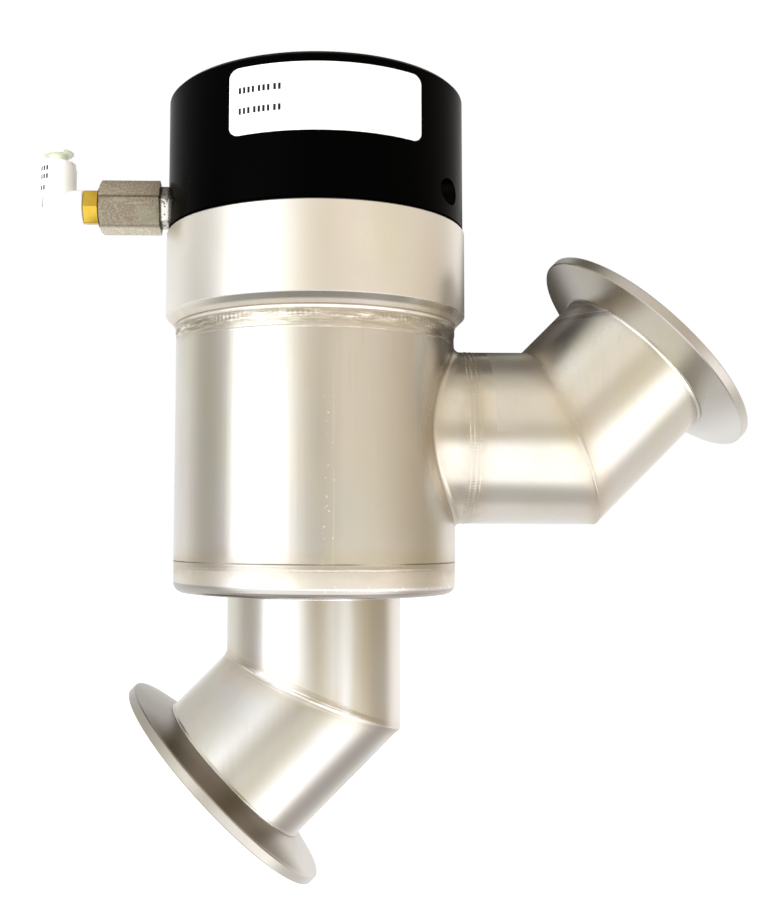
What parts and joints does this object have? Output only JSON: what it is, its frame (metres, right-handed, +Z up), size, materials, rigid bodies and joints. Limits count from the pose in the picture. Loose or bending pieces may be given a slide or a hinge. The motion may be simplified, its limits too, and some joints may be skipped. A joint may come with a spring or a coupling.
{
  "type": "diaphragm valve",
  "caption": "Air-operated vacuum isolation valve: black actuator cap on a steel body, two mitred clamp-flange ports, push-in air fitting.",
  "frame": {"origin": "centre of the lower port's sealing face", "axes": "+Z up along the stem, +X towards the side port, both ports in the XZ plane"},
  "size_m": [0.2092, 0.0888, 0.2278],
  "materials": {
    "cap_black": "black anodised, satin",
    "label_white": "printed film",
    "ring_steel": "turned and bead blasted",
    "tube_steel": "fine brushed",
    "flange_steel": "turned",
    "inner_steel": "machined",
    "nipple_steel": "bright",
    "coupling_steel": "dull, drawn bar",
    "brass": "bright",
    "bronze": "sintered",
    "fitting_white": "moulded",
    "button_pale": "moulded",
    "piston_alloy": "turned",
    "spring_steel": "oiled",
    "rubber_black": "smooth",
    "diaphragm_rubber": "fabric reinforced",
    "zinc_steel": "plated"
  },
  "bodies": {
    "root": {"actuator_cap": "cap_black", "cap_label": "label_white", "body_ring": "ring_steel", "body_tube": "tube_steel", "bottom_plate": "ring_steel", "side_port_collar": "tube_steel", "side_port_tube": "tube_steel", "side_elbow_tube": "tube_steel", "side_flange": "flange_steel", "lower_port_tube": "tube_steel", "lower_elbow_tube": "tube_steel", "lower_flange": "flange_steel", "bonnet_plate": "inner_steel", "bonnet_seal": "rubber_black", "air_seal": "rubber_black", "stem_bushing": "bronze", "stem_seal": "rubber_black", "seal_retainer": "zinc_steel", "bellows_top_collar": "inner_steel", "bellows": "inner_steel", "diaphragm": "diaphragm_rubber", "diaphragm_clamp_ring": "piston_alloy", "return_spring": "spring_steel", "hex_nipple": "nipple_steel", "hex_coupling": "coupling_steel", "fitting_gasket": "rubber_black", "fitting_body": "brass"},
    "plunger": {"stem": "inner_steel", "piston": "piston_alloy", "piston_nut": "zinc_steel", "diaphragm_washer": "piston_alloy", "poppet": "inner_steel", "poppet_seal": "rubber_black", "poppet_screw": "zinc_steel", "bellows_bottom_collar": "inner_steel"},
    "elbow": {"elbow_body": "fitting_white", "swivel_seal": "rubber_black", "tube_seal": "rubber_black", "collet": "zinc_steel", "collet_guide": "fitting_white"},
    "button": {"release_button": "button_pale"}
  },
  "joints": [
    {"name": "stem_lift", "type": "slide", "parent": "root", "child": "plunger", "axis": [0, 0, 1], "range_m": [0, 0.013], "stiffness_N_per_m": 8000, "springref_m": -0.03, "deforming": ["bellows", "return_spring", "diaphragm"]},
    {"name": "fitting_swivel", "type": "hinge", "parent": "root", "child": "elbow", "pos_m": [-0.04585, 0, 0.17015], "axis": [1, 0, 0], "continuous": true},
    {"name": "release_press", "type": "slide", "parent": "elbow", "child": "button", "axis": [0, 0, -1], "range_m": [0, 0.0015], "stiffness_N_per_m": 300, "springref_m": -0.002}
  ]
}
